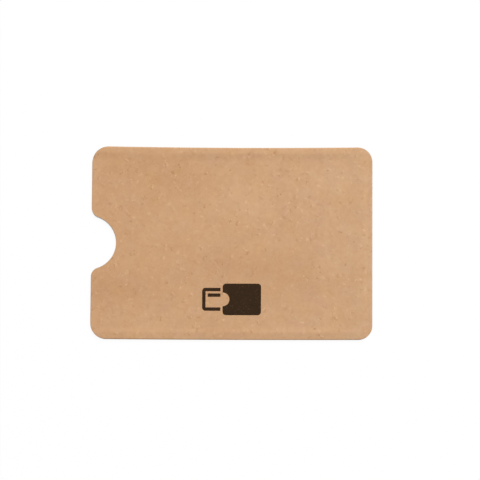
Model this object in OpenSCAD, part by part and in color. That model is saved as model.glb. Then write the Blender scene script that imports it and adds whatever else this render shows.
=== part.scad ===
// Card sleeve of foil-lined kraft board, folded and glued from one die-cut blank.
// The printed front faces +Z. The mouth with its thumb notch faces -X and the closed end +X.
// The origin lies under the middle of the sleeve, on the surface that the back rests on.
// Sizes are millimetres.

/* [Sleeve] */
// Length from the mouth to the closed end
body_l = 91; // [88:0.5:100]
// Width over the two folded long edges
body_w = 62; // [60:0.5:72]
// Radius of the four cut corners
corner_r = 5.2; // [3:0.1:8]

/* [Sheet] */
// Thickness of the kraft board
board_t = 0.35; // [0.25:0.05:0.45]
// Thickness of the foil lining with its film
foil_t = 0.03; // [0.02:0.01:0.06]

/* [Pocket] */
// Thickness of the card that the pocket takes
card_t = 0.76; // [0.7:0.02:1]
// Play over the thickness of that card
card_play = 0.12; // [0.06:0.02:0.4]

/* [Glued flaps] */
// Width of each flap, from its folded edge inwards
flap_w = 3; // [2.4:0.1:4]
// Slant at each end of a flap, which keeps it out of the corners
flap_slant = 1.5; // [0.5:0.1:3]
// Thickness of the glue line under each flap
glue_t = 0.05; // [0.03:0.01:0.1]
// Bare margin that the glue line keeps to the edges of its flap
glue_margin = 0.3; // [0.1:0.1:0.7]
// How far the cut edges of the back panel stay inside the folded edges
back_inset = 0.4; // [0.1:0.1:1]

/* [Thumb notch] */
// Radius of the notch
notch_r = 8.6; // [6:0.1:11]
// How far the centre of the notch lies outside the mouth
notch_out = 0.65; // [0:0.05:2]
// Radius that rounds the two shoulders of the notch
shoulder_r = 3; // [1:0.1:5]

/* [Printed mark] */
// Width of the mark
mark_w = 19; // [17:0.5:26]
// Height of the mark
mark_h = 10.2; // [8:0.1:14]
// Length of the solid pocket in the mark
mark_pocket_l = 12.4; // [8:0.1:13]
// Height of the card that enters it
mark_card_h = 7.4; // [6:0.1:7.8]
// Width of the lines of the mark
mark_line = 1.1; // [0.6:0.1:1.3]
// Bare gap between neighbouring lines
mark_gap = 0.7; // [0.4:0.1:1]
// Radius of the notch in the mark's pocket
mark_notch_r = 2.2; // [1:0.1:3]
// Distance from the lower long edge to the middle of the mark
mark_rise = 13.1; // [10:0.1:20]
// Thickness of the ink
ink_t = 0.02; // [0.01:0.01:0.05]

/* [Hidden] */
$fn = 96;
// Overshoot of a cutting shape past the sheet that it cuts
cut = 1;
// The laminated sheet is board outside and foil inside
sheet_t = board_t + foil_t;
pocket_h = card_t + card_play;
body_t = 2 * sheet_t + pocket_h;

// Heights of the layers, from the surface under the back
back_foil_z = board_t;
glue_z = back_foil_z + foil_t;
flap_z = glue_z + glue_t;
flap_foil_z = flap_z + board_t;
front_foil_z = sheet_t + pocket_h;
front_z = front_foil_z + foil_t;

// The closed end folds round the pocket, and each long edge folds from the front to its flap
end_fold_r = body_t / 2;
side_fold_r = (body_t - flap_z) / 2;
end_fold_x = body_l / 2 - end_fold_r;
side_fold_y = body_w / 2 - side_fold_r;
end_fold_l = body_w - 2 * corner_r;
side_fold_l = body_l - 2 * corner_r;
flap_inner_y = body_w / 2 - flap_w;

// Centre of a shoulder, which touches the mouth's edge and the notch's circle
shoulder_x = shoulder_r + notch_out;
shoulder_y = sqrt(pow(notch_r + shoulder_r, 2) - pow(shoulder_x, 2));

kraft = [0.80, 0.635, 0.485];
kraft_edge = [0.72, 0.55, 0.40];
foil = [0.80, 0.81, 0.83];
glue = [0.90, 0.86, 0.74];
ink = [0.20, 0.14, 0.10];

// A rectangle with round corners, centred
module rounded_rectangle(length, width, r) {
    square([length - 2 * r, width], center = true);
    square([length, width - 2 * r], center = true);
    for (x = [-1, 1], y = [-1, 1])
        translate([x * (length / 2 - r), y * (width / 2 - r)]) circle(r);
}

// The thumb notch about its own centre: a circle that opens to the mouth with two round shoulders
module notch_shape() {
    circle(notch_r);
    for (side = [0, 1])
        mirror([0, side])
            difference() {
                polygon([[0, 0], [notch_out, shoulder_y], [shoulder_x, shoulder_y]]);
                translate([shoulder_x, shoulder_y]) circle(shoulder_r);
            }
}

// Outline of the sleeve seen from the front
module outline() {
    difference() {
        rounded_rectangle(body_l, body_w, corner_r);
        translate([-body_l / 2 - notch_out, 0]) notch_shape();
    }
}

// The strip at the closed end where the sheet bends, cut out of both panels
module end_fold_strip() {
    translate([end_fold_x, -end_fold_l / 2]) square([end_fold_r + cut, end_fold_l]);
}

// Front panel: its long edges and its closed end stop where the folds begin
module front_shape() {
    difference() {
        outline();
        end_fold_strip();
        for (side = [0, 1])
            mirror([0, side])
                translate([-side_fold_l / 2, side_fold_y]) square([side_fold_l, side_fold_r + cut]);
    }
}

// Back panel: its long edges are cut edges, a little inside the folds above them
module back_shape() {
    difference() {
        intersection() {
            outline();
            square([body_l, body_w - 2 * back_inset], center = true);
        }
        end_fold_strip();
    }
}

// Flat part of the upper glue flap, slanted at both ends
module flap_shape() {
    polygon([
        [-side_fold_l / 2, side_fold_y], [side_fold_l / 2, side_fold_y],
        [side_fold_l / 2 - flap_slant, flap_inner_y], [-side_fold_l / 2 + flap_slant, flap_inner_y]
    ]);
}

// Glue line under the upper flap
module glue_shape() {
    glue_l = side_fold_l - 2 * (flap_slant + glue_margin);
    translate([-glue_l / 2, flap_inner_y + glue_margin])
        square([glue_l, side_fold_y - flap_inner_y - 2 * glue_margin]);
}

// Half of a ring, on the +X side of its centre
module half_ring(outer_r, inner_r) {
    difference() {
        circle(outer_r);
        circle(inner_r);
        translate([-outer_r - cut, -outer_r - cut]) square([outer_r + cut, 2 * (outer_r + cut)]);
    }
}

// One flat layer of a shape
module layer(z, thickness) {
    translate([0, 0, z]) linear_extrude(thickness) children();
}

// One bent layer along the closed end
module end_bend(outer_r, thickness) {
    translate([end_fold_x, 0, end_fold_r])
        rotate([90, 0, 0])
            linear_extrude(end_fold_l, center = true) half_ring(outer_r, outer_r - thickness);
}

// One bent layer along the upper long edge
module side_bend(outer_r, thickness) {
    translate([0, side_fold_y, body_t - side_fold_r])
        rotate([90, 0, 90])
            linear_extrude(side_fold_l, center = true) half_ring(outer_r, outer_r - thickness);
}

// The mark's pocket: a solid block with a notch in its left end
module mark_pocket(left_x) {
    difference() {
        translate([left_x + mark_pocket_l / 2, 0])
            rounded_rectangle(mark_pocket_l, mark_h, mark_line);
        translate([left_x, 0]) circle(mark_notch_r);
    }
}

// The mark's card: an outline whose right end is open, with one stripe along it
module mark_card(left_x, length) {
    inner_h = mark_card_h - 2 * mark_line;
    stripe_x = left_x + mark_line + mark_gap;
    intersection() {
        difference() {
            translate([left_x + length, 0]) rounded_rectangle(2 * length, mark_card_h, mark_line);
            translate([left_x + mark_line, -inner_h / 2]) square([2 * length, inner_h]);
        }
        translate([left_x, -mark_card_h / 2]) square([length, mark_card_h]);
    }
    translate([stripe_x, inner_h / 2 - mark_gap - mark_line])
        square([left_x + length - stripe_x, mark_line]);
}

// The mark: a card that slides into a notched pocket, drawn about its own middle
module mark_shape() {
    pocket_x = mark_w / 2 - mark_pocket_l;
    mark_pocket(pocket_x);
    mark_card(-mark_w / 2, mark_w - mark_pocket_l - mark_gap);
}

// Kraft board of the printed front
module front_panel() {
    color(kraft) layer(front_z, board_t) front_shape();
}

// Kraft board of the back
module back_panel() {
    color(kraft) layer(0, board_t) back_shape();
}

// Kraft board bent round the closed end, from the front panel to the back panel
module end_fold() {
    color(kraft_edge) end_bend(end_fold_r, board_t);
}

// Kraft board bent along a long edge, from the front panel to its flap
module upper_side_fold() {
    color(kraft_edge) side_bend(side_fold_r, board_t);
}
module lower_side_fold() {
    mirror([0, 1, 0]) upper_side_fold();
}

// Kraft board of a flap, folded in under the front and glued to the back
module upper_glue_flap() {
    color(kraft_edge) layer(flap_z, board_t) flap_shape();
}
module lower_glue_flap() {
    mirror([0, 1, 0]) upper_glue_flap();
}

// Foil lining of the front, on the pocket's side of the board
module front_foil() {
    color(foil) layer(front_foil_z, foil_t) front_shape();
}

// Foil lining of the back, on the pocket's side of the board
module back_foil() {
    color(foil) layer(back_foil_z, foil_t) back_shape();
}

// Foil lining inside the fold at the closed end
module end_fold_foil() {
    color(foil) end_bend(end_fold_r - board_t, foil_t);
}

// Foil lining inside the fold of a long edge
module upper_fold_foil() {
    color(foil) side_bend(side_fold_r - board_t, foil_t);
}
module lower_fold_foil() {
    mirror([0, 1, 0]) upper_fold_foil();
}

// Foil lining of a flap, which faces up into the pocket
module upper_flap_foil() {
    color(foil) layer(flap_foil_z, foil_t) flap_shape();
}
module lower_flap_foil() {
    mirror([0, 1, 0]) upper_flap_foil();
}

// Glue between a flap and the back's lining
module upper_glue_line() {
    color(glue) layer(glue_z, glue_t) glue_shape();
}
module lower_glue_line() {
    mirror([0, 1, 0]) upper_glue_line();
}

// Ink of the mark near the lower long edge
module printed_mark() {
    color(ink)
        translate([0, mark_rise - body_w / 2, 0]) layer(body_t, ink_t) mark_shape();
}

front_panel();
back_panel();
end_fold();
upper_side_fold();
lower_side_fold();
upper_glue_flap();
lower_glue_flap();
front_foil();
back_foil();
end_fold_foil();
upper_fold_foil();
lower_fold_foil();
upper_flap_foil();
lower_flap_foil();
upper_glue_line();
lower_glue_line();
printed_mark();
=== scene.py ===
from collections import namedtuple

import bmesh
import bpy
import numpy as np
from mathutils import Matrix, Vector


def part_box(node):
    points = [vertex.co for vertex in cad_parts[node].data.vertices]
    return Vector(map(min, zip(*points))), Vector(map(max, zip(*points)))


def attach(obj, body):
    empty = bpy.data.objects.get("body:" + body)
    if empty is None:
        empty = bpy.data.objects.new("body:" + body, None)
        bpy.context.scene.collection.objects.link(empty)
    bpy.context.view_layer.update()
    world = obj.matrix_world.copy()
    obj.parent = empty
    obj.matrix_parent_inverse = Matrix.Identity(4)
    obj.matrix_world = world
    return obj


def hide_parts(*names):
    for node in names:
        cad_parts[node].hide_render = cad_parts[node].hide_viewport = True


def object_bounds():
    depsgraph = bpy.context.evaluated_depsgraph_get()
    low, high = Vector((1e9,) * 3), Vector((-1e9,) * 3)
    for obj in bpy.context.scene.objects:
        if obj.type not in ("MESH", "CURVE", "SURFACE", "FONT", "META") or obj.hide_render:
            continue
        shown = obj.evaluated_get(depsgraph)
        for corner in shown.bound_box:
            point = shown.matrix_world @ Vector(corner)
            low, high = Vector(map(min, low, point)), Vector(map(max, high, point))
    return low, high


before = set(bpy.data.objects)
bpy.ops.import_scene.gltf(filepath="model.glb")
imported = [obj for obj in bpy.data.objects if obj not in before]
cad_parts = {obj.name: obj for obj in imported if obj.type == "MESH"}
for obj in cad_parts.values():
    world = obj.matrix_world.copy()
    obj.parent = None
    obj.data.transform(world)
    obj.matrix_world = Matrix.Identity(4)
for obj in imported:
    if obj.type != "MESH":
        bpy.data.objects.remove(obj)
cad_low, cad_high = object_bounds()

# The camera looks straight down on the sleeve, with a long lens, as the photograph does.
# The sleeve lies a little left of the picture's middle and a little below it.
MM = 0.001
PICTURE_PX = 480
PX_PER_MM = 3.097
MIDDLE_PX = 239.5
SLEEVE_PX = (231.45, 243.25)
LENS_MM = 100
SENSOR_MM = 36
NEAREST_M, FARTHEST_M = 0.02, 20

camera_data = bpy.data.cameras.new("overhead_camera")
camera_data.lens = LENS_MM
camera_data.sensor_width = SENSOR_MM
camera_data.clip_start = NEAREST_M
camera_data.clip_end = FARTHEST_M
camera = bpy.data.objects.new("overhead_camera", camera_data)
bpy.context.scene.collection.objects.link(camera)
bpy.context.scene.camera = camera
camera.location = (
    (MIDDLE_PX - SLEEVE_PX[0]) / PX_PER_MM * MM,
    (SLEEVE_PX[1] - MIDDLE_PX) / PX_PER_MM * MM,
    cad_high.z + PICTURE_PX / PX_PER_MM * LENS_MM / SENSOR_MM * MM,
)
bpy.context.scene.view_settings.view_transform = "Standard"


# Front board. It is the printed field of a die-cut blank of brown kraft board, 0.35 mm thick.
# Its mouth, notch and round corners are die-cut edges. Its long edges and its closed end run
# on into folds, and the board swells beside them and sinks a little between them.
def cad_box(node):
    """Lowest and highest corner of a CAD node, in millimetres."""
    return np.array([list(corner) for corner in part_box(node)]) / MM


FRONT = cad_box("front_panel")
LENGTH, WIDTH = (cad_high.x - cad_low.x) / MM, (cad_high.y - cad_low.y) / MM
FACE_Z = FRONT[1, 2]
BOARD_T = FRONT[1, 2] - FRONT[0, 2]
FOIL_T = FRONT[0, 2] - cad_box("front_foil")[0, 2]
FLAP_Z = cad_box("upper_glue_flap")[0, 2]
FOLD_BOX = cad_box("upper_side_fold")
CORNER_R = (LENGTH - (FOLD_BOX[1, 0] - FOLD_BOX[0, 0])) / 2
# The die's four corners, from the upper right one round to the lower right one
CORNER_RADII = CORNER_R + np.array([-0.2, 0.2, 0.0, -0.5])
# The notch's centre lies a little outside the mouth's edge and above the middle
NOTCH_R = 8.6
NOTCH_OUT = 0.62
NOTCH_RISE = 0.06
SHOULDER_R = 3.0
# Spacing of the outline's points along its straight stretches and its arcs
STRAIGHT_STEP = 0.8
ARC_STEP = 0.35
# Width of the strip along a cut edge in which the mesh is closest, and radius of its arrises
CUT_LIP = 0.3
ARRIS_R = 0.04

# The stretches of an outline, in their order
(CLOSED_END, UPPER_RIGHT, UPPER_EDGE, UPPER_LEFT, UPPER_MOUTH, UPPER_SHOULDER, NOTCH,
 LOWER_SHOULDER, LOWER_MOUTH, LOWER_LEFT, LOWER_EDGE, LOWER_RIGHT) = range(12)
Path = namedtuple("Path", "points inward stretch along")
Rim = namedtuple("Rim", "setback turn folded")


def straight(start, stop, count):
    """start + (stop - start) t for t from 0 to 1. Inward is to the left of the way."""
    along = np.linspace(0, 1, count)[:, None]
    way = np.subtract(stop, start) / np.linalg.norm(np.subtract(stop, start))
    points = start + np.subtract(stop, start) * along
    return points, np.broadcast_to((-way[1], way[0]), points.shape), along[:, 0]


def arc(centre, radius, start, stop):
    """centre + radius (cos a, sin a). Inward is towards the centre where a grows, else away."""
    count = int(np.ceil(abs(stop - start) * radius / ARC_STEP)) + 2
    angle = np.linspace(start, stop, count)
    ray = np.stack([np.cos(angle), np.sin(angle)], -1)
    return centre + radius * ray, -ray * np.sign(stop - start), np.linspace(0, 1, count)


def edge_path(length, width, radii, notch_x, notch_y):
    """The outline as twelve stretches, anticlockwise as seen from the front.

    The corners and the shoulders are round arcs. A shoulder touches the mouth's edge and the
    notch, so its centre lies at the sum of both radii from the notch's centre.
    """
    x, y = length / 2, width / 2
    right, left = x - radii, radii - x
    upper, lower = y - radii, radii - y
    count = int(np.ceil(length / STRAIGHT_STEP))
    shoulder_x = SHOULDER_R - x
    side = np.arccos((shoulder_x - notch_x) / (NOTCH_R + SHOULDER_R))
    reach = (NOTCH_R + SHOULDER_R) * np.sin(side)
    pi = np.pi
    stretches = (
        straight((x, lower[3]), (x, upper[0]), count // 2),
        arc((right[0], upper[0]), radii[0], 0, pi / 2),
        straight((right[0], y), (left[1], y), count),
        arc((left[1], upper[1]), radii[1], pi / 2, pi),
        straight((-x, upper[1]), (-x, notch_y + reach), count // 4),
        arc((shoulder_x, notch_y + reach), SHOULDER_R, pi, pi + side),
        arc((notch_x, notch_y), NOTCH_R, side, -side),
        arc((shoulder_x, notch_y - reach), SHOULDER_R, pi - side, pi),
        straight((-x, notch_y - reach), (-x, lower[2]), count // 4),
        arc((left[2], lower[2]), radii[2], pi, 3 * pi / 2),
        straight((left[2], -y), (right[3], -y), count),
        arc((right[3], lower[3]), radii[3], 3 * pi / 2, 2 * pi),
    )
    points, inward, along = (np.concatenate(parts) for parts in zip(*stretches))
    stretch = np.repeat(range(len(stretches)), [len(part[0]) for part in stretches])
    return Path(points, inward, stretch, along)


def softplus(value):
    """log(1 + e^v): 0 where v is low and v where it is high, with a round corner between."""
    return np.logaddexp(0, value)


def smooth_step(low, high, value):
    """0 below low, 1 above high, and 3 t^2 - 2 t^3 between them."""
    t = np.clip((value - low) / (high - low), 0, 1)
    return t * t * (3 - 2 * t)


# Along a long edge: the slope up from the fold, the slope down to the flat middle, the places
# of the crest and of the slope's inner end from the edge, and how softly both are rounded
Swell = namedtuple("Swell", "rise fall crest foot crest_soft foot_soft")
UPPER_SWELL = Swell(0.16, 0.165, 1.82, 3.95, 0.22, 0.5)
LOWER_SWELL = Swell(0.105, 0.165, 2.45, 3.78, 0.16, 0.33)
# How much farther in the lower swell ends at the closed end than at the mouth
LOWER_FOOT_DRIFT = 0.9
# Both swells rise more gently towards the mouth: places along X, and the slopes there
UPPER_RISES = ((-40, -10, 15), (0.06, 0.11, UPPER_SWELL.rise))
LOWER_RISES = ((-40, 5), (0.05, LOWER_SWELL.rise))
# Where the upper swell is slack: its place along X, its half length, how much of the fall is
# lost there and how far the crest moves in
SLACK_X, SLACK_HALF, SLACK_LOST, SLACK_SHIFT = -25.0, 9.0, 0.55, 0.5
# The middle lies as deep as the lower swell is high up to the first of these places on Y, and
# as deep as the upper one is high from the second
MIDDLE_CHANGE = (-20, 20)
# The swell fades between two places on X towards the closed end, by this share
SWELL_FADE = (37.5, 41.5, 0.55)
# The board slopes down to its fold there: the slope, where it starts and ends, how softly, and
# the share of it that is left nearer to the fold
END_SLOPE = 0.195
END_SLOPE_FROM, END_SLOPE_TO, END_SLOPE_SOFT, END_SLOPE_REST = 2.75, 1.55, 0.18, -0.05
# The upper half of the mouth lifts: the slope, the distances from the edge between which it
# rises, and the places on Y between which the lift comes in and goes out
MOUTH_LIFT = 0.07
MOUTH_LIFT_FROM, MOUTH_LIFT_TO = 3.2, 1.1
MOUTH_LIFT_IN, MOUTH_LIFT_OUT = (7, 13), (24, 29)
# Each corner's droop where u v is 1, in the order of the radii. The closed end's hang lower
CORNER_DROOPS = (0.5, 0.2, 0.2, 0.5)
SLOPE_STEP = 0.01


def swell_height(edge, swell):
    """Height over the flat middle, by the distance to a long edge.

    Its slope is rise before the crest, -fall after it and 0 past the foot. Each change of
    slope s at a place p is s k softplus((edge - p) / k).
    """
    def at(distance):
        crest = (distance - swell.crest) / swell.crest_soft
        foot = (distance - swell.foot) / swell.foot_soft
        return (swell.rise * (distance - swell.crest)
                - (swell.rise + swell.fall) * swell.crest_soft * softplus(crest)
                + swell.fall * swell.foot_soft * softplus(foot))
    return at(edge) + swell.fall * (swell.foot - swell.crest)


def front_height(x, y):
    """Height of the printed face.

    It is the crests' height, less the flat middle's depth, plus both swells, less the slope at
    the closed end, plus the lift at the mouth, less each corner's droop, which grows with
    (u v)^1.5 from the corner arc's centre outwards.
    """
    slack = np.exp(-((x - SLACK_X) / SLACK_HALF) ** 2)
    upper = UPPER_SWELL._replace(rise=np.interp(x, *UPPER_RISES),
                                 fall=UPPER_SWELL.fall * (1 - SLACK_LOST * slack),
                                 crest=UPPER_SWELL.crest + SLACK_SHIFT * slack)
    upper_depth = upper.fall * (upper.foot - upper.crest)
    lower = LOWER_SWELL._replace(rise=np.interp(x, *LOWER_RISES),
                                 foot=LOWER_SWELL.foot + LOWER_FOOT_DRIFT * x / LENGTH)
    lower_depth = lower.fall * (lower.foot - lower.crest)
    middle = lower_depth + (upper_depth - lower_depth) * smooth_step(*MIDDLE_CHANGE, y)
    relief = swell_height(WIDTH / 2 - y, upper) + swell_height(WIDTH / 2 + y, lower) - middle
    low, high, lost = SWELL_FADE
    relief = relief * (1 - lost * smooth_step(low, high, x))
    end = LENGTH / 2 - x
    slope_down = END_SLOPE * END_SLOPE_SOFT * (
        softplus((END_SLOPE_FROM - end) / END_SLOPE_SOFT)
        - (1 - END_SLOPE_REST) * softplus((END_SLOPE_TO - end) / END_SLOPE_SOFT))
    mouth = x + LENGTH / 2
    lift = MOUTH_LIFT * END_SLOPE_SOFT * (
        softplus((MOUTH_LIFT_FROM - mouth) / END_SLOPE_SOFT)
        - softplus((MOUTH_LIFT_TO - mouth) / END_SLOPE_SOFT))
    lift = lift * smooth_step(*MOUTH_LIFT_IN, y) * (1 - smooth_step(*MOUTH_LIFT_OUT, y))
    droop = 0
    for side_x, side_y, radius, depth in zip((1, -1, -1, 1), (1, 1, -1, -1), CORNER_RADII,
                                             CORNER_DROOPS):
        u = np.clip((side_x * x - LENGTH / 2 + radius) / radius, 0, None)
        v = np.clip((side_y * y - WIDTH / 2 + radius) / radius, 0, None)
        droop = droop + depth * (u * v) ** 1.5
    return FACE_Z + relief - slope_down + lift - droop


def slope(height, x, y):
    """Rise of a height along X and along Y, from its values a small step to each side."""
    step = SLOPE_STEP
    along_x = (height(x + step, y) - height(x - step, y)) / (2 * step)
    along_y = (height(x, y + step) - height(x, y - step)) / (2 * step)
    return along_x, along_y


def tilt_outwards(height, points, inward):
    """Angle at which a surface drops towards its edge."""
    along_x, along_y = slope(height, points[:, 0], points[:, 1])
    return np.arctan(along_x * inward[:, 0] + along_y * inward[:, 1])


# The setback that a fold's search starts with, and its rounds
FIRST_SETBACK = 0.5
SETTLING_ROUNDS = 8


def fold_start(path, stretch, under):
    """Setback, tilt and outside radius of the fold at each point of a stretch.

    The sheet leaves the front at the tilt a and turns on a radius r down to the height under:
    r = (z - under) / (1 + cos a), and the setback from the edge is r (1 - sin a). The setback
    gives z and a again, so a few rounds settle all three.
    """
    chosen = path.stretch == stretch
    points, inward = path.points[chosen], path.inward[chosen]
    setback = np.full(len(points), FIRST_SETBACK)
    for _ in range(SETTLING_ROUNDS):
        start = points + inward * setback[:, None]
        tilt = tilt_outwards(front_height, start, inward)
        radius = (front_height(start[:, 0], start[:, 1]) - under) / (1 + np.cos(tilt))
        setback = radius * (1 - np.sin(tilt))
    return setback, tilt, radius


front_path = edge_path(LENGTH, WIDTH, CORNER_RADII, -LENGTH / 2 - NOTCH_OUT, NOTCH_RISE)
# The height to which each fold turns down
UNDER = {UPPER_EDGE: FLAP_Z, LOWER_EDGE: FLAP_Z, CLOSED_END: 0.0}
folds = {stretch: fold_start(front_path, stretch, under) for stretch, under in UNDER.items()}
# Each corner, the fold that it meets at one of its ends, and whether that is its first end
CORNER_ENDS = (
    (UPPER_RIGHT, CLOSED_END, True), (UPPER_RIGHT, UPPER_EDGE, False),
    (UPPER_LEFT, UPPER_EDGE, True), (LOWER_LEFT, LOWER_EDGE, False),
    (LOWER_RIGHT, LOWER_EDGE, True), (LOWER_RIGHT, CLOSED_END, False),
)
# Share of a corner's arc over which the board flattens from the fold's quarter turn
CORNER_TURN = 0.4


def front_rim(path):
    """How the front ends at each point of its outline: setback, share of a quarter turn, fold.

    A fold starts at its own setback. A cut edge ends flat, but next to a fold it is turned
    down as the fold is, which fades along the corner's arc.
    """
    setback = np.full(len(path.stretch), CUT_LIP)
    turn = np.zeros(len(path.stretch))
    for corner, fold, first in CORNER_ENDS:
        chosen = path.stretch == corner
        from_fold = path.along[chosen] if first else 1 - path.along[chosen]
        share = 1 - smooth_step(0, CORNER_TURN, from_fold)
        fold_end = folds[fold][0][-1 if first else 0]
        setback[chosen] += share * (fold_end - CUT_LIP)
        turn[chosen] = np.maximum(turn[chosen], share)
    for fold, (fold_setback, _, _) in folds.items():
        setback[path.stretch == fold] = fold_setback
    return Rim(setback, turn, np.isin(path.stretch, list(folds)))


def skin(height, plan, depth):
    """Points at a depth below a surface, square to it: (x, y, h) - depth n."""
    x, y = plan[..., 0], plan[..., 1]
    along_x, along_y = slope(height, x, y)
    normal = np.stack([-along_x, -along_y, np.ones_like(x)], -1)
    normal = normal / np.linalg.norm(normal, axis=-1, keepdims=True)
    return np.stack([x, y, height(x, y)], -1) - depth * normal


# The rows of a panel end on a line along its middle, between these two places on X. They lie
# closer over the outer share of the way, where the board swells
SPINE = (-10.0, 28.0)
OUTER_SHARE = 0.16
OUTER_ROWS, INNER_ROWS = 26, 23
LIP_ROWS, ARRIS_ROWS = 5, 3
# How much of the cut edge's colour each row of a lip has, from its inner end outwards
CUT_FADE = (0, 0, 0.1, 0.4, 0.8)
# The least angle that a lip turns through, in radians, which keeps its radius finite
LEAST_TURN = 0.02


def panel(path, rim, height, near, far, arris):
    """A layer of the sheet between two depths, as a grid of rows that starts and ends inside.

    Each point of the outline has one column. It runs from the spine over the outside to the
    setback, round the rim, and back along the inside. On the rim, at the tilt b, which turns
    evenly from a to its last value, the point lies (sin b - sin a) r outwards and
    (cos a - cos b) r down, then inset back along the sheet and depth square to it.
    Also gives 1 on a cut edge, which fades along its lip, and 0 elsewhere.
    """
    start = path.points + path.inward * rim.setback[:, None]
    on_right = np.isin(path.stretch, (CLOSED_END, UPPER_RIGHT, LOWER_RIGHT))
    on_side = np.isin(path.stretch, (UPPER_EDGE, LOWER_EDGE))
    spine_x = np.where(path.stretch == UPPER_EDGE, path.along, 1 - path.along)
    spine_x = np.interp(spine_x, (0, 1), SPINE[::-1])
    spine_x = np.where(on_right, SPINE[1], np.where(on_side, spine_x, SPINE[0]))
    spine = np.stack([spine_x, np.zeros_like(spine_x)], -1)
    inwards = np.concatenate([np.linspace(0, OUTER_SHARE, OUTER_ROWS),
                              np.linspace(OUTER_SHARE, 1, INNER_ROWS)[1:]])
    plan = start + (spine - start) * inwards[:, None, None]

    quarter = np.pi / 2 * np.arange(1, ARRIS_ROWS + 1) / ARRIS_ROWS
    lip = np.linspace(0, 1, LIP_ROWS + 1)[1:]
    share = np.concatenate([lip, np.ones(2 * ARRIS_ROWS), lip[::-1]])
    drawn_in = np.concatenate([lip, 1 - np.sin(quarter)])
    inset = arris * np.concatenate([drawn_in, drawn_in[::-1]])
    round_depth = arris * (1 - np.cos(quarter))
    depth = np.concatenate([np.full(LIP_ROWS, near), near + round_depth,
                            far - round_depth[::-1], np.full(LIP_ROWS, far)])
    share, inset, depth = share[:, None], inset[:, None], depth[:, None]
    first = tilt_outwards(height, start, path.inward)
    last = np.maximum(first + rim.turn * (np.pi / 2 - first), first + LEAST_TURN)
    free = 1.0 - rim.folded
    tilt = first + free * share * (last - first)
    radius = free * rim.setback / (np.sin(last) - np.sin(first))
    outwards = (np.sin(tilt) - np.sin(first)) * radius - free * inset * np.cos(tilt)
    down = (np.cos(first) - np.cos(tilt)) * radius - free * inset * np.sin(tilt)
    outwards = outwards - depth * np.sin(tilt)
    down = down + depth * np.cos(tilt)
    edge_plan = start - path.inward * outwards[..., None]
    edge = np.concatenate([edge_plan, (height(start[:, 0], start[:, 1]) - down)[..., None]], -1)

    rows = np.concatenate([skin(height, plan[::-1], near), edge, skin(height, plan, far)])
    on_edge = np.concatenate([CUT_FADE, np.ones(2 * ARRIS_ROWS), CUT_FADE[::-1]])
    cut = np.zeros(rows.shape[:2])
    cut[len(plan):-len(plan)] = on_edge[:, None] * free
    return rows, cut


def ring_faces(rows, columns):
    """Four-sided faces of a grid whose last column meets its first."""
    row, column = np.meshgrid(np.arange(rows - 1), np.arange(columns), indexing="ij")
    beside = (column + 1) % columns
    corners = (row * columns + column, (row + 1) * columns + column,
               (row + 1) * columns + beside, row * columns + beside)
    return np.stack(corners, -1).reshape(-1, 4)


# How the sheet is out of true: its length's share of the true one, how far each end leans at
# its corners, and the bow of each long edge, as the factors of x^2, x and 1
TRUE_SHARE = 0.9988
MOUTH_LEAN, END_LEAN = 0.41, 0.0205
UPPER_BOW = (0.000188, -0.004533, 0.0116)
LOWER_BOW = (0.00007, -0.0037, -0.0952)


def out_of_true(points):
    """The sheet as it was really folded, a little out of square, and a little bowed.

    Its ends lean: x + lean (y / half), and lean changes evenly from one end to the other. The
    long edges move by their bows, shared in proportion between them.
    """
    x, y, z = points[..., 0], points[..., 1], points[..., 2]
    high = y / (WIDTH / 2)
    lean = high * np.interp(x, (-LENGTH / 2, LENGTH / 2), (MOUTH_LEAN, END_LEAN))
    bow = np.polyval(UPPER_BOW, x) * (1 + high) / 2 + np.polyval(LOWER_BOW, x) * (1 - high) / 2
    return np.stack([x * TRUE_SHARE + lean, y + bow, z], -1)


# Points closer than this become one, and edges sharper than this stay sharp
MERGE_MM = 0.001
SHARP_DEGREES = 35


def add_piece(name, points, faces, finish, node, slot, cut=None):
    """Makes a closed mesh of points in millimetres, and puts it in place of its CAD node."""
    points = out_of_true(points).reshape(-1, 3) * MM
    mesh = bpy.data.meshes.new(name)
    mesh.from_pydata(points.tolist(), [], np.reshape(faces, (-1, 4)).tolist())
    if cut is not None:
        mesh.attributes.new("cut", "FLOAT", "POINT").data.foreach_set("value", cut.ravel())
    shape = bmesh.new()
    shape.from_mesh(mesh)
    bmesh.ops.remove_doubles(shape, verts=shape.verts, dist=MERGE_MM * MM)
    bmesh.ops.recalc_face_normals(shape, faces=shape.faces)
    shape.to_mesh(mesh)
    shape.free()
    mesh.shade_smooth()
    mesh.set_sharp_from_angle(angle=np.radians(SHARP_DEGREES))
    mesh.materials.append(finish)
    piece = bpy.data.objects.new(name, mesh)
    bpy.context.scene.collection.objects.link(piece)
    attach(piece, "root")
    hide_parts(node)


class Tone:
    """A value, colour or vector inside a finish. Arithmetic on it adds Math nodes there."""

    def __init__(self, finish, socket):
        self.finish = finish
        self.socket = socket

    def math(self, operation, *values, clamp=False):
        """One Math node on these values."""
        settings = {"operation": operation, "use_clamp": clamp}
        return self.finish.add("ShaderNodeMath", settings, dict(enumerate(values)))

    def __add__(self, other):
        return self.math("ADD", self, other)

    def __radd__(self, other):
        return self.math("ADD", other, self)

    def __sub__(self, other):
        return self.math("SUBTRACT", self, other)

    def __rsub__(self, other):
        return self.math("SUBTRACT", other, self)

    def __mul__(self, other):
        return self.math("MULTIPLY", self, other)

    def __rmul__(self, other):
        return self.math("MULTIPLY", other, self)

    def __truediv__(self, other):
        return self.math("DIVIDE", self, other)

    def __pow__(self, other):
        return self.math("POWER", self, other)

    def __gt__(self, other):
        return self.math("GREATER_THAN", self, other)

    def clamped(self):
        """The value, held between 0 and 1."""
        return self.math("ADD", self, 0.0, clamp=True)


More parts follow.
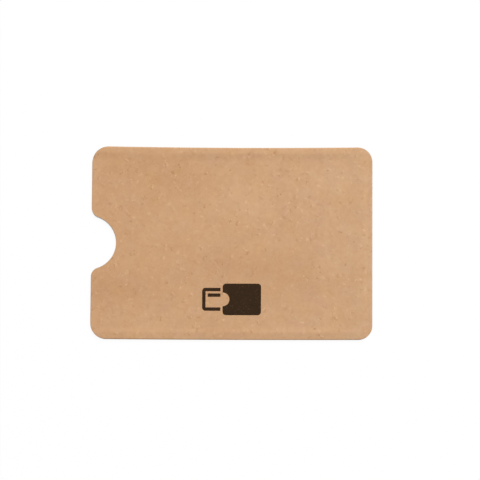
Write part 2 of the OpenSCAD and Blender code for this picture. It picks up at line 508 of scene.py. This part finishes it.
class Finish:
    """A material, or the world, with the nodes that it is made of."""

    def __init__(self, block, output="ShaderNodeOutputMaterial"):
        block.use_nodes = True
        self.block = block
        self.tree = block.node_tree
        self.tree.nodes.clear()
        self.end = self.tree.nodes.new(output)

    def add(self, kind, settings=None, values=None, output=0):
        """One node of a kind: its settings first, then the values or links of its sockets."""
        node = self.tree.nodes.new(kind)
        for name, setting in (settings or {}).items():
            setattr(node, name, setting)
        for name, value in (values or {}).items():
            if isinstance(value, Tone):
                self.tree.links.new(value.socket, node.inputs[name])
            else:
                node.inputs[name].default_value = value
        return Tone(self, node.outputs[output])

    def vector(self, operation, *values, output=0):
        """One Vector Math node on these values."""
        return self.add("ShaderNodeVectorMath", {"operation": operation},
                        dict(enumerate(values)), output)

    def place(self):
        """The point on the piece, in millimetres."""
        point = self.add("ShaderNodeTexCoord", output="Object")
        return self.vector("MULTIPLY", point, (1 / MM, 1 / MM, 1 / MM))

    def noise(self, place, size, detail=0.0, roughness=0.5, swirl=0.0):
        """Soft noise about 0, whose grains are about one size across, and curled by swirl."""
        values = {"Vector": place, "Scale": 1 / size, "Detail": detail, "Roughness": roughness,
                  "Distortion": swirl}
        return self.add("ShaderNodeTexNoise", values=values) - 0.5

    def curled(self, place, size, reach):
        """The point moved by soft noise, by 0 to reach on X and Y, so that straight marks curl."""
        values = {"Vector": place, "Scale": 1 / size, "Detail": 1.0}
        shift = self.add("ShaderNodeTexNoise", values=values, output="Color")
        return self.vector("MULTIPLY_ADD", shift, (reach, reach, 0.0), place)

    def mix(self, factor, first, second):
        """A colour between two: the first where the factor is 0, the second where it is 1."""
        return self.add("ShaderNodeMix", {"data_type": "RGBA"},
                        {0: factor, 6: first, 7: second}, output=2)

    def relief(self, rise, height):
        """A fine relief, whose height of 1 stands for a rise in millimetres."""
        values = {"Strength": 1.0, "Distance": rise * MM, "Height": height}
        return self.add("ShaderNodeBump", values=values)

    def surface(self, shader):
        """Joins a shader to the end, and gives the finished material or world."""
        self.tree.links.new(shader.socket, self.end.inputs["Surface"])
        return self.block


def srgb(red, green, blue):
    """A colour given as a screen shows it, 0 to 255, as the light values that a shader takes."""
    shown = np.array([red, green, blue]) / 255
    light = np.where(shown > 0.04045, ((shown + 0.055) / 1.055) ** 2.4, shown / 12.92)
    return (*light.tolist(), 1.0)


# A kind of short fibre: the size of the cell that each one lies in, its length and width, how
# much fewer the strong ones are, and how strongly all of them show
Fleck = namedtuple("Fleck", "cell length width weight strength")
# Fibres lie nearly flat in the sheet, and a step through the sheet counts for less
FIBRE_LIE = (1.0, 1.0, 0.15)
FIBRE_REACH = (1.0, 1.0, 0.4)
STRENGTH_DRAW = 7.0


def flecks(finish, place, kind):
    """One short fibre in each cell of a scattered pattern, in a direction of its own.

    With d from the cell's middle and f its direction, along = d.f and across^2 = d.d - along^2.
    The fleck is 1 - sqrt((along / length)^2 + (across / width)^2), where that is above 0.
    Its strength is a random number to the power of weight, so that strong flecks are few.
    """
    cells = finish.add("ShaderNodeTexVoronoi", values={"Vector": place, "Scale": 1 / kind.cell},
                       output="Position")
    colour = finish.add("ShaderNodeTexWhiteNoise", values={"Vector": cells}, output="Color")
    strength = finish.add("ShaderNodeTexWhiteNoise", {"noise_dimensions": "4D"},
                          {"Vector": cells, "W": STRENGTH_DRAW}, "Value")
    away = finish.vector("MULTIPLY", finish.vector("SUBTRACT", place, cells), FIBRE_REACH)
    lying = finish.vector("SUBTRACT", colour, (0.5, 0.5, 0.5))
    direction = finish.vector("NORMALIZE", finish.vector("MULTIPLY", lying, FIBRE_LIE))
    along = finish.vector("DOT_PRODUCT", away, direction, output="Value")
    distance = finish.vector("DOT_PRODUCT", away, away, output="Value")
    along = along * along
    shape = along / kind.length ** 2 + (distance - along) / kind.width ** 2
    return (1 - shape ** 0.5).clamped() * strength ** kind.weight


# Kraft board: its colour at the mouth and at the closed end, where it is a little paler and less
# saturated, a painted sheen from the lamp's side, and of its cut edges, with how much of it shows
# there
KRAFT_MOUTH = srgb(199.6, 156.1, 116.3)
KRAFT_END_PAINTED_SHEEN = srgb(201, 160.5, 122.4)
KRAFT_CUT = srgb(176, 132, 92)
KRAFT_CUT_SHARE = 0.8
# How strongly a cloud or broad patch, painted highlights among them, a fibre and a warm patch
# change red, green and blue
CLOUD_AND_HIGHLIGHT_TINT = (0.66, 1.0, 1.3)
FIBRE_TINT = (0.74, 1.0, 1.3)
WARM_TINT = (0.05, 0.0, -0.14)
# Broad darker and lighter patches on the front: middle, half lengths where a quarter of it is
# left, and strength. The two lighter ones at the closed end, at its upper corner and along it, are
# painted highlight
PATCHES_AND_PAINTED_HIGHLIGHTS = (
    ((-22, 22), (13, 7), -0.08), ((-42.5, -13), (6, 6), -0.08), ((-35, -15), (6, 4), -0.045),
    ((1, -7), (12, 5), -0.09), ((18, -10.5), (13, 8), -0.08), ((-33, 26), (9, 4), -0.04),
    ((31, 21), (9, 6), 0.07), ((5, 14), (14, 8), 0.055), ((-28, 8), (11, 5), 0.02),
    ((-25, -26), (18, 7), 0.04), ((43, 0), (4, 26), 0.02), ((41, 28), (4, 2.4), 0.06),
    ((13, -3), (5, 3.5), -0.042), ((34, -16), (10, 4), -0.025), ((-12, 28), (5, 3), -0.035),
)
# Unevenness of the pulp all over the board: grain size, swirl and strength
PULP = ((11.0, 0.0, 0.12), (3.6, 1.2, 0.185), (1.3, 1.5, 0.15))
WARM_SIZE = 6.0
GRAIN_SIZE, GRAIN_STRENGTH = 0.4, 0.04
PALE_FIBRE = Fleck(2.0, 1.0, 0.38, 2.6, 0.31)
DARK_FIBRE = Fleck(2.1, 1.05, 0.38, 2.6, 0.345)
RAISED_FIBRE = Fleck(2.3, 1.0, 0.36, 2.2, 0.28)
SHIVE = Fleck(1.9, 0.45, 0.32, 12.0, 0.4)
PALE_HAIR = Fleck(0.6, 0.65, 0.07, 1.0, 0.2)
DARK_HAIR = Fleck(0.66, 0.65, 0.07, 1.0, 0.2)
# A raised fibre's painted shade lies this far from it, on the side away from the lamp, and the
# raised fibre itself is painted lighter, as if lit
PAINTED_SHADE_AWAY = (0.45, 0.2, 0.0)
PAINTED_SHADE_STRENGTH = 0.31
# How fibres and hairs curl, as size and reach, and how fibres break up into wisps
FIBRE_CURL, HAIR_CURL = (0.6, 1.7), (0.5, 0.5)
WISP_SIZE, WISP_STRENGTH = 0.14, 5.0
# The board's relief: the size of its tooth, its rise, and how many times that a mark stands out
# or, as a shive does, lies in. Dark fibres lie in by one rise
TOOTH_SIZE, TOOTH_RISE = 0.3, 0.012
PALE_RISE, RAISED_RISE, SHIVE_DEPTH, CUT_GRAIN_RISE = 2.0, 2.0, 3.0, 10.0


def kraft_finish():
    """Matte brown board: clouds in the pulp, broad patches and painted highlights, fine grain, and
    fibres frayed into wisps.

    Pale and dark fibres lie in its face. Raised fibres stand out of it and are painted lighter, as
    if lit, with a painted shade beside them. Fine hairs lie between them, and a few dark shives
    are pressed in. A broad patch is (1 - (u^2 + v^2) / 2)^2, where u and v are the ways from its
    middle in half lengths.
    """
    finish = Finish(bpy.data.materials.new("kraft_board"))
    place = finish.place()
    split = finish.add("ShaderNodeSeparateXYZ", values={0: place})
    x, y, z = (Tone(finish, split.socket.node.outputs[axis]) for axis in "XYZ")
    broad, middling, small = (finish.noise(place, size, 1.0, swirl=swirl) * strength
                              for size, swirl, strength in PULP)
    clouds_and_painted_highlights = broad + middling + small
    warmth = finish.noise(place, WARM_SIZE, 1.0)
    on_front = z > FACE_Z / 2
    # Broad patches on the front; the two lighter ones at the closed end are painted highlight
    for (middle_x, middle_y), (half_x, half_y), strength in PATCHES_AND_PAINTED_HIGHLIGHTS:
        off_x, off_y = (x - middle_x) / half_x, (y - middle_y) / half_y
        near = (1 - (off_x * off_x + off_y * off_y) * 0.5).clamped()
        clouds_and_painted_highlights = clouds_and_painted_highlights + near * near * on_front * strength
    grain = finish.noise(place, GRAIN_SIZE, 3.0, 0.6) * GRAIN_STRENGTH
    curled = finish.curled(place, *FIBRE_CURL)
    pale = flecks(finish, curled, PALE_FIBRE)
    dark = flecks(finish, curled, DARK_FIBRE)
    # Raised fibres are painted lighter, as if lit, and a painted shade lies beside each
    raised_and_painted_lit = flecks(finish, curled, RAISED_FIBRE)
    painted_fibre_shade = flecks(finish, finish.vector("ADD", curled, PAINTED_SHADE_AWAY), RAISED_FIBRE)
    marks = (pale * PALE_FIBRE.strength - dark * DARK_FIBRE.strength
             + raised_and_painted_lit * RAISED_FIBRE.strength - painted_fibre_shade * PAINTED_SHADE_STRENGTH)
    bent = finish.curled(place, *HAIR_CURL)
    wisps = 1 + finish.noise(bent, WISP_SIZE, 2.0, 0.6, 1.0) * WISP_STRENGTH
    hairs = (flecks(finish, bent, PALE_HAIR) * PALE_HAIR.strength
             - flecks(finish, bent, DARK_HAIR) * DARK_HAIR.strength)
    shive = flecks(finish, place, SHIVE)
    fibre = grain + marks * wisps - shive * SHIVE.strength + hairs
    # The board grows paler towards the closed end: painted sheen
    base = finish.mix((x / LENGTH + 0.5).clamped(), KRAFT_MOUTH, KRAFT_END_PAINTED_SHEEN)
    tint = finish.vector("MULTIPLY_ADD", fibre, FIBRE_TINT, (1.0, 1.0, 1.0))
    tint = finish.vector("MULTIPLY_ADD", clouds_and_painted_highlights, CLOUD_AND_HIGHLIGHT_TINT, tint)
    tint = finish.vector("MULTIPLY_ADD", warmth, WARM_TINT, tint)
    face = finish.vector("MULTIPLY", base, tint)
    cut = finish.add("ShaderNodeAttribute", {"attribute_name": "cut"}, output="Fac")
    colour = finish.mix(cut * KRAFT_CUT_SHARE, face, KRAFT_CUT)
    relief = finish.relief(TOOTH_RISE, (
        finish.noise(place, TOOTH_SIZE, 2.0) + pale * PALE_RISE + raised_and_painted_lit * RAISED_RISE - dark
        - shive * SHIVE_DEPTH + cut * grain * CUT_GRAIN_RISE))
    return finish.surface(finish.add("ShaderNodeBsdfPrincipled", values={
        "Base Color": colour, "Roughness": 0.92, "Specular IOR Level": 0.25, "Normal": relief}))


kraft = kraft_finish()
front = panel(front_path, front_rim(front_path), front_height, 0.0, BOARD_T, ARRIS_R)
add_piece("front_board", front[0], ring_faces(*front[0].shape[:2]), kraft, "front_panel",
          "kraft_board", front[1])


# Side folds. Along each long edge the board bends right round, under the front, on a radius
# that leaves room for the flap. The bends are part of the same sheet as the front.
def grid_faces(rows, columns, start=0):
    """Four-sided faces of an open grid whose first point has the number start."""
    row, column = np.meshgrid(np.arange(rows - 1), np.arange(columns - 1), indexing="ij")
    first = start + row * columns + column
    return np.stack([first, first + 1, first + columns + 1, first + columns], -1).reshape(-1, 4)


def slab(outside, inside):
    """A closed layer between two open grids of points: both grids, and a wall round them."""
    rows, columns = outside.shape[:2]
    number = np.arange(rows * columns).reshape(rows, columns)
    border = np.concatenate([number[0, :-1], number[:-1, -1], number[-1, :0:-1], number[:0:-1, 0]])
    beside = np.roll(border, -1)
    size = rows * columns
    wall = np.stack([border, beside, beside + size, border + size], -1)
    faces = np.concatenate([grid_faces(rows, columns), grid_faces(rows, columns, size), wall])
    return np.stack([outside, inside]), faces


BEND_STEPS = 44


def bend(stretch, near, far):
    """A fold as a slab: the sheet turns from its first tilt to half a turn.

    At the tilt b a point lies (sin b - sin a) r outwards from the fold's start and
    (cos a - cos b) r below it, then depth square to the sheet.
    """
    chosen = front_path.stretch == stretch
    setback, first, radius = folds[stretch]
    inward = front_path.inward[chosen]
    start = front_path.points[chosen] + inward * setback[:, None]
    height = front_height(start[:, 0], start[:, 1])
    tilt = first + (np.pi - first) * np.linspace(0, 1, BEND_STEPS)[:, None]

    def layer(depth):
        outwards = (np.sin(tilt) - np.sin(first)) * radius - depth * np.sin(tilt)
        down = (np.cos(first) - np.cos(tilt)) * radius + depth * np.cos(tilt)
        plan = start - inward * outwards[..., None]
        return np.concatenate([plan, (height - down)[..., None]], -1)
    return slab(layer(near), layer(far))


SIDES = (("upper", UPPER_EDGE), ("lower", LOWER_EDGE))
for side, stretch in SIDES:
    add_piece(f"{side}_side_bend", *bend(stretch, 0.0, BOARD_T), kraft, f"{side}_side_fold",
              "kraft_board")


# Glue flaps. Each side fold ends in a narrow flat flap between front and back, cut at a slant
# at both ends, and glued down on the back's lining.
FLAP_INNER_Y = cad_box("upper_glue_flap")[0, 1]
FLAP_SLANT = 1.5
FLAP_ROWS = 8


def flap(stretch, near, far):
    """A flap as a slab: each row is the fold's end + (inner edge - fold's end) t."""
    chosen = front_path.stretch == stretch
    points, inward = front_path.points[chosen], front_path.inward[chosen]
    radius = folds[stretch][2]
    outer = points + inward * radius[:, None]
    middle = (outer[0, 0] + outer[-1, 0]) / 2
    half = abs(outer[0, 0] - outer[-1, 0]) / 2
    inner = np.stack([middle + (outer[:, 0] - middle) * (half - FLAP_SLANT) / half,
                      np.sign(points[:, 1]) * FLAP_INNER_Y], -1)
    plan = outer + (inner - outer) * np.linspace(0, 1, FLAP_ROWS)[:, None, None]

    def layer(depth):
        return np.concatenate([plan, np.full(plan.shape[:2] + (1,), FLAP_Z + depth)], -1)
    return slab(layer(near), layer(far))


for side, stretch in SIDES:
    add_piece(f"{side}_flap_board", *flap(stretch, 0.0, BOARD_T), kraft, f"{side}_glue_flap",
              "kraft_board")


# End fold. At the closed end the board bends from the front straight to the back, and it
# stands a little lower than the swollen long edges.
add_piece("end_bend", *bend(CLOSED_END, 0.0, BOARD_T), kraft, "end_fold", "kraft_board")


# Back board. It is the plain field behind the pocket, with the same notch at its mouth. Its
# long edges are cut, and lie just inside the folds. It was folded over last, a little askew.
BACK = cad_box("back_panel")
BACK_WIDTH = BACK[1, 1] - BACK[0, 1]
BACK_SHIFT = (-0.07, -0.25)
BACK_CURL = 0.12


def back_height(x, y):
    """Height of the back's outside above the table, turned upside down.

    It lies flat, and its corners curl up by the square of the way past the folds' ends.
    """
    u = np.clip((np.abs(x) - LENGTH / 2 + CORNER_R) / CORNER_R, 0, None)
    v = np.clip((np.abs(y) - WIDTH / 2 + CORNER_R) / CORNER_R, 0, None)
    return -BACK_CURL * u * u * v * v + 0 * x


def back_rim(path):
    """The back is cut all round, but for the closed end, where the end fold runs into it.

    The strip of close mesh along the two corners narrows from the fold's width there.
    """
    setback = np.full(len(path.stretch), CUT_LIP)
    at_fold = path.stretch == CLOSED_END
    setback[at_fold] = folds[CLOSED_END][2]
    for corner, fold, first in CORNER_ENDS:
        if fold == CLOSED_END:
            chosen = path.stretch == corner
            from_fold = path.along[chosen] if first else 1 - path.along[chosen]
            wider = folds[CLOSED_END][2][-1 if first else 0] - CUT_LIP
            setback[chosen] += wider * (1 - smooth_step(0, CORNER_TURN, from_fold))
    return Rim(setback, np.zeros(len(path.stretch)), at_fold)


def back_panel(near, far, arris):
    """The panel between two depths, built face up and then turned over: z becomes -z."""
    rows, cut = panel(back_path, back_rim(back_path), back_height, near, far, arris)
    return rows * (1, 1, -1), cut


back_path = edge_path(LENGTH, BACK_WIDTH, CORNER_RADII - (WIDTH - BACK_WIDTH) / 2,
                      -LENGTH / 2 - NOTCH_OUT + BACK_SHIFT[0], NOTCH_RISE + BACK_SHIFT[1])
back = back_panel(0.0, BOARD_T, ARRIS_R)
add_piece("back_board", back[0], ring_faces(*back[0].shape[:2]), kraft, "back_panel",
          "kraft_board", back[1])


# Foil lining. Thin aluminium with a film on it is laminated to the whole blank before it is
# cut, so every field and fold has its lining on the pocket's side.
FOIL = srgb(205, 207, 210)
FOIL_ROUGHNESS = 0.42
# The mill draws fine streaks out along X. Wrinkles of this size lie over them
STREAKS_PER_MM = (0.15, 4.0, 1.0)
STREAK_STRENGTH = 0.2
WRINKLE_SIZE, WRINKLE_RISE = 1.8, 0.05


def foil_finish():
    """Dull rolled metal with fine streaks and wrinkles."""
    finish = Finish(bpy.data.materials.new("foil_lining"))
    place = finish.place()
    rolled = finish.vector("MULTIPLY", place, STREAKS_PER_MM)
    streaks = finish.noise(rolled, 1.0, 2.0) * STREAK_STRENGTH
    relief = finish.relief(WRINKLE_RISE, finish.noise(place, WRINKLE_SIZE, 3.0) + streaks)
    return finish.surface(finish.add("ShaderNodeBsdfPrincipled", values={
        "Base Color": FOIL, "Metallic": 1.0, "Roughness": FOIL_ROUGHNESS + streaks,
        "Normal": relief}))


foil = foil_finish()
LINED_T = BOARD_T + FOIL_T
front_lining = panel(front_path, front_rim(front_path), front_height, BOARD_T, LINED_T, 0.0)
add_piece("front_lining", front_lining[0], ring_faces(*front_lining[0].shape[:2]), foil,
          "front_foil", "foil_lining")
back_lining = back_panel(BOARD_T, LINED_T, 0.0)
add_piece("back_lining", back_lining[0], ring_faces(*back_lining[0].shape[:2]), foil,
          "back_foil", "foil_lining")
for side, stretch in SIDES:
    add_piece(f"{side}_bend_lining", *bend(stretch, BOARD_T, LINED_T), foil,
              f"{side}_fold_foil", "foil_lining")
    add_piece(f"{side}_flap_lining", *flap(stretch, BOARD_T, LINED_T), foil,
              f"{side}_flap_foil", "foil_lining")
add_piece("end_bend_lining", *bend(CLOSED_END, BOARD_T, LINED_T), foil, "end_fold_foil",
          "foil_lining")


# Glue lines. A thin bead of white glue holds each flap down on the back's lining. It was
# rolled flat as the sleeve was closed, so its edges wander.
GLUE = srgb(232, 224, 200)
GLUE_ROUGHNESS, GLUE_ROUGHNESS_CHANGE = 0.45, 0.2
GLUE_LUMP_SIZE, GLUE_LUMP_RISE = 0.8, 0.02
# Points along and across each line
GLUE_STEPS = (160, 4)
# How far the edges wander, and the length and phase of both waves of each edge
GLUE_WANDER = 0.12
GLUE_LOW_WAVES = ((1.9, 0), (0.83, 1))
GLUE_HIGH_WAVES = ((2.3, 2), (0.71, 0))


def glue_finish():
    """Dried white glue, slightly uneven and half glossy."""
    finish = Finish(bpy.data.materials.new("seam_glue"))
    place = finish.place()
    uneven = finish.noise(place, GLUE_LUMP_SIZE, 2.0)
    rough = GLUE_ROUGHNESS + uneven * GLUE_ROUGHNESS_CHANGE
    return finish.surface(finish.add("ShaderNodeBsdfPrincipled", values={
        "Base Color": GLUE, "Roughness": rough,
        "Normal": finish.relief(GLUE_LUMP_RISE, uneven)}))


def wander(x, waves):
    """GLUE_WANDER times the mean of sin(x / length + phase) over both waves."""
    return GLUE_WANDER * sum(np.sin(x / length + phase) for length, phase in waves) / len(waves)


def glue_line(node):
    """A slab in the glue line's box, whose long edges wander."""
    low, high = cad_box(node)
    x = np.linspace(low[0], high[0], GLUE_STEPS[0])
    across = np.linspace(0, 1, GLUE_STEPS[1])[:, None]
    near = low[1] + wander(x, GLUE_LOW_WAVES)
    far = high[1] + wander(x, GLUE_HIGH_WAVES)
    y = near + (far - near) * across
    plan = np.stack([np.broadcast_to(x, y.shape), y], -1)
    layers = [np.concatenate([plan, np.full(y.shape + (1,), z)], -1) for z in (high[2], low[2])]
    return slab(*layers)


glue = glue_finish()
for side, _ in SIDES:
    node = f"{side}_glue_line"
    add_piece(f"{side}_glue", *glue_line(node), glue, node, "seam_glue")


# Printed mark. One pass of dark brown ink shows a card on its way into a notched pocket. The
# ink lies on the board as a thin film, and the board's fibres show through it.
INK = srgb(51, 35, 20)
MARK = cad_box("printed_mark")
INK_T = MARK[1, 2] - MARK[0, 2]
# The film starts this far under the board's face, so that no gap shows
INK_SUNK = 0.004
# The pocket's length, the card's height, the width of the lines and of the gaps, and the notch
MARK_POCKET_L = 12.4
MARK_CARD_H = 7.4
MARK_LINE = 1.1
MARK_GAP = 0.7
MARK_NOTCH_R = 2.2
# Spacing of the points across the mark's shapes, and how many lie along their lines and turns
MARK_STEP = 0.25
BLOCK_TURN_POINTS, BLOCK_SIDE_POINTS = 14, 8
CARD_TURN_POINTS, CARD_LINE_POINTS = 10, 12
STRIPE_POINTS = 20
# Fibres that stand out of the ink, its unevenness, and the size of its tooth
BARE_FIBRE = Fleck(0.75, 0.62, 0.13, 2.0, 0.15)
INK_GRAIN_SIZE, INK_GRAIN_STRENGTH = 0.3, 0.9
INK_TOOTH_SIZE = 0.22


def ink_finish():
    """Dark ink, a little uneven, with paler specks where fibres stand out of it."""
    finish = Finish(bpy.data.materials.new("printing_ink"))
    place = finish.place()
    grain = finish.noise(place, INK_GRAIN_SIZE, 2.0, 0.6)
    bare = flecks(finish, place, BARE_FIBRE)
    tint = finish.vector("MULTIPLY_ADD", grain, (INK_GRAIN_STRENGTH,) * 3, (1.0, 1.0, 1.0))
    dark = finish.vector("MULTIPLY", INK[:3], tint)
    colour = finish.mix(bare * BARE_FIBRE.strength, dark, KRAFT_MOUTH)
    relief = finish.relief(TOOTH_RISE, finish.noise(place, INK_TOOTH_SIZE, 2.0) + bare)
    return finish.surface(finish.add("ShaderNodeBsdfPrincipled", values={
        "Base Color": colour, "Roughness": 0.8, "Specular IOR Level": 0.1, "Normal": relief}))


def printed(plan):
    """A film of ink on the front: from a little below its face to the ink's thickness above."""
    return slab(skin(front_height, plan, -INK_T), skin(front_height, plan, INK_SUNK))


def between(first, last):
    """Rows of points from one line of points to another: first + (last - first) t."""
    reach = np.linalg.norm(last - first, axis=-1).max()
    t = np.linspace(0, 1, int(np.ceil(reach / MARK_STEP)) + 1)
    return first + (last - first) * t[:, None, None]


def mark_pocket(low, high):
    """A block with round corners of the line's width and a half-round notch in its left end.

    At the height y its ends are drawn in by r - sqrt(r^2 - (|y| - h + r)^2) at the corners,
    and its left end by sqrt(n^2 - y^2) in the notch.
    """
    middle_y = (low[1] + high[1]) / 2
    half = (high[1] - low[1]) / 2
    turn = np.sin(np.linspace(0, np.pi / 2, BLOCK_TURN_POINTS))
    y = np.concatenate([MARK_NOTCH_R * turn,
                        np.linspace(MARK_NOTCH_R, half - MARK_LINE, BLOCK_SIDE_POINTS),
                        half - MARK_LINE + MARK_LINE * turn])
    y = np.unique(np.concatenate([-y, y]))
    corner = np.clip(np.abs(y) - half + MARK_LINE, 0, MARK_LINE)
    corner = MARK_LINE - np.sqrt(MARK_LINE ** 2 - corner ** 2)
    notch = np.sqrt(np.clip(MARK_NOTCH_R ** 2 - y ** 2, 0, None))
    left = np.stack([high[0] - MARK_POCKET_L + np.maximum(corner, notch), middle_y + y], -1)
    right = np.stack([high[0] - corner, middle_y + y], -1)
    return between(left, right)


def mark_card(low, high):
    """The card's outline, open on the right: outer line with round corners, inner line sharp."""
    middle_y = (low[1] + high[1]) / 2
    half = MARK_CARD_H / 2
    right = high[0] - MARK_POCKET_L - MARK_GAP
    turn = np.linspace(0, np.pi / 2, CARD_TURN_POINTS)
    top_x = np.linspace(right, low[0] + MARK_LINE, CARD_LINE_POINTS)
    end_y = np.linspace(half - MARK_LINE, 0, CARD_LINE_POINTS)
    outer = [np.stack([top_x, np.full_like(top_x, half)], -1),
             np.stack([low[0] + MARK_LINE * (1 - np.sin(turn)),
                       half - MARK_LINE * (1 - np.cos(turn))], -1),
             np.stack([np.full_like(end_y, low[0]), end_y], -1)]
    inner = [outer[0] - (0, MARK_LINE),
             np.broadcast_to((low[0] + MARK_LINE, half - MARK_LINE), outer[1].shape),
             outer[2] + (MARK_LINE, 0)]
    outer, inner = np.concatenate(outer), np.concatenate(inner)
    outer = np.concatenate([outer, outer[::-1] * (1, -1)]) + (0, middle_y)
    inner = np.concatenate([inner, inner[::-1] * (1, -1)]) + (0, middle_y)
    return between(outer, inner)


def mark_stripe(low, high):
    """A straight bar on the card, under its upper line."""
    top = (low[1] + high[1]) / 2 + MARK_CARD_H / 2 - MARK_LINE - MARK_GAP
    left, right = low[0] + MARK_LINE + MARK_GAP, high[0] - MARK_POCKET_L - MARK_GAP
    x = np.linspace(left, right, STRIPE_POINTS)
    upper = np.stack([x, np.full_like(x, top)], -1)
    return between(upper, upper - (0, MARK_LINE))


parts = [printed(shape(*MARK)) for shape in (mark_pocket, mark_card, mark_stripe)]
offsets = np.cumsum([0] + [points.size // 3 for points, _ in parts])
mark_points = np.concatenate([points.reshape(-1, 3) for points, _ in parts])
mark_faces = np.concatenate([faces + offset for (_, faces), offset in zip(parts, offsets)])
add_piece("ink_mark", mark_points, mark_faces, ink_finish(), "printed_mark", "printing_ink")


# Floor and light. The floor is a plain white sheet with a faint shadow on it. It is open under
# the sleeve, and not seen from below, so that the back can be looked at. Soft light falls from
# all round, and one large lamp stands above the upper right corner.
FLOOR_SIDE = 3000.0
FLOOR_DEPTH = 0.01
# How far inside the sleeve's outline the floor's opening ends
OPEN_INSET = 0.1
# The eye sees this share of the floor as plain white, and the rest as paper in the light
FLOOR_GLOW = 0.95
FLOOR_PAPER = (0.97, 0.97, 0.97, 1)
ROOM_LIGHT = 0.45
LAMP_POWER = 36.0
LAMP_SIDE = 900 * MM
LAMP_PLACE = (580 * MM, 1090 * MM, 1580 * MM)


def seen_by_eye(finish):
    """1 for rays that reach the eye directly, or by a reflection or through glass, else 0."""
    path = finish.add("ShaderNodeLightPath").socket.node.outputs
    rays = [Tone(finish, path[name])
            for name in ("Is Camera Ray", "Is Glossy Ray", "Is Transmission Ray")]
    return (rays[0] + rays[1] + rays[2]).clamped()


floor_finish = Finish(bpy.data.materials.new("white_floor"))
paper = floor_finish.add("ShaderNodeBsdfDiffuse", values={"Color": FLOOR_PAPER})
glow = floor_finish.add("ShaderNodeEmission", values={"Strength": 1.0})
lit = floor_finish.add("ShaderNodeMixShader",
                       values={0: seen_by_eye(floor_finish) * FLOOR_GLOW, 1: paper, 2: glow})
clear = floor_finish.add("ShaderNodeBsdfTransparent")
below = floor_finish.add("ShaderNodeNewGeometry", output="Backfacing")
floor_finish.surface(floor_finish.add("ShaderNodeMixShader", values={0: below, 1: lit, 2: clear}))

inner_edge = front_path.points + front_path.inward * OPEN_INSET
outer_edge = inner_edge / np.abs(inner_edge).max(1, keepdims=True) * FLOOR_SIDE / 2
floor_rows = np.stack([inner_edge, outer_edge])
floor_z = np.full(floor_rows.shape[:2] + (1,), -FLOOR_DEPTH)
floor_rows = np.concatenate([floor_rows, floor_z], -1)
floor_mesh = bpy.data.meshes.new("floor")
floor_mesh.from_pydata((floor_rows.reshape(-1, 3) * MM).tolist(), [],
                       ring_faces(*floor_rows.shape[:2]).tolist())
floor_mesh.materials.append(floor_finish.block)
floor = bpy.data.objects.new("floor", floor_mesh)
bpy.context.scene.collection.objects.link(floor)

world_finish = Finish(bpy.data.worlds.new("white_room"), "ShaderNodeOutputWorld")
bpy.context.scene.world = world_finish.surface(world_finish.add("ShaderNodeBackground", values={
    "Strength": ROOM_LIGHT + (1 - ROOM_LIGHT) * seen_by_eye(world_finish)}))

lamp_data = bpy.data.lights.new("soft_lamp", "AREA")
lamp_data.energy = LAMP_POWER
lamp_data.size = LAMP_SIDE
lamp = bpy.data.objects.new("soft_lamp", lamp_data)
bpy.context.scene.collection.objects.link(lamp)
lamp.location = LAMP_PLACE
lamp.rotation_euler = lamp.location.to_track_quat("Z", "Y").to_euler()
